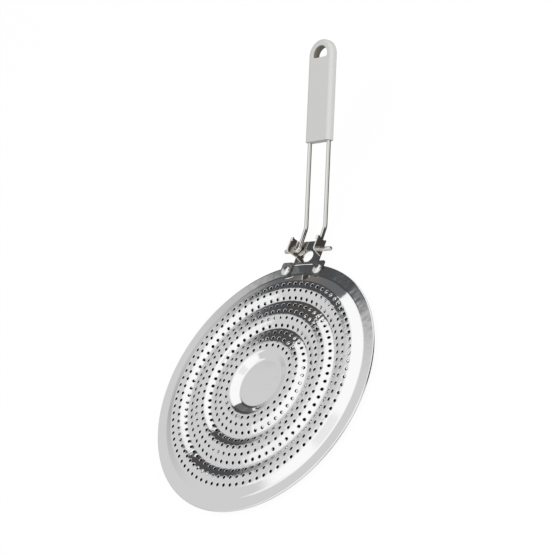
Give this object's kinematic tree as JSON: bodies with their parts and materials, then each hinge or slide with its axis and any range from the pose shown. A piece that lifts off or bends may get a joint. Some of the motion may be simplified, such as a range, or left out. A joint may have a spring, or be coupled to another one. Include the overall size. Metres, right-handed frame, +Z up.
{
  "type": "gas hob reducer ring",
  "caption": "Round perforated steel hob ring with a wavy upper face, a riveted rim bracket and a folding wire handle that ends in a flat moulded grip.",
  "frame": {"origin": "centre of the disc, on the flat underside that it rests on", "axes": "+Z up out of the disc's wavy face, +Y from the disc's centre towards the handle"},
  "size_m": [0.21, 0.3853, 0.0721],
  "materials": {
    "plate_metal": "bright plated sheet",
    "bracket_metal": "bright plated sheet",
    "rivet_metal": "bright",
    "wire_metal": "bright drawn wire",
    "grip_plastic": "satin"
  },
  "bodies": {
    "ring": {"top_plate": "plate_metal", "bottom_plate": "plate_metal", "handle_bracket": "bracket_metal", "rivet_left": "rivet_metal", "rivet_right": "rivet_metal"},
    "handle": {"handle_wire": "wire_metal", "handle_grip": "grip_plastic"}
  },
  "joints": [
    {"name": "handle_fold", "type": "hinge", "parent": "ring", "child": "handle", "pos_m": [0, 0.1175, 0.0058], "axis": [1, 0, 0], "range_deg": [0, 156]}
  ]
}
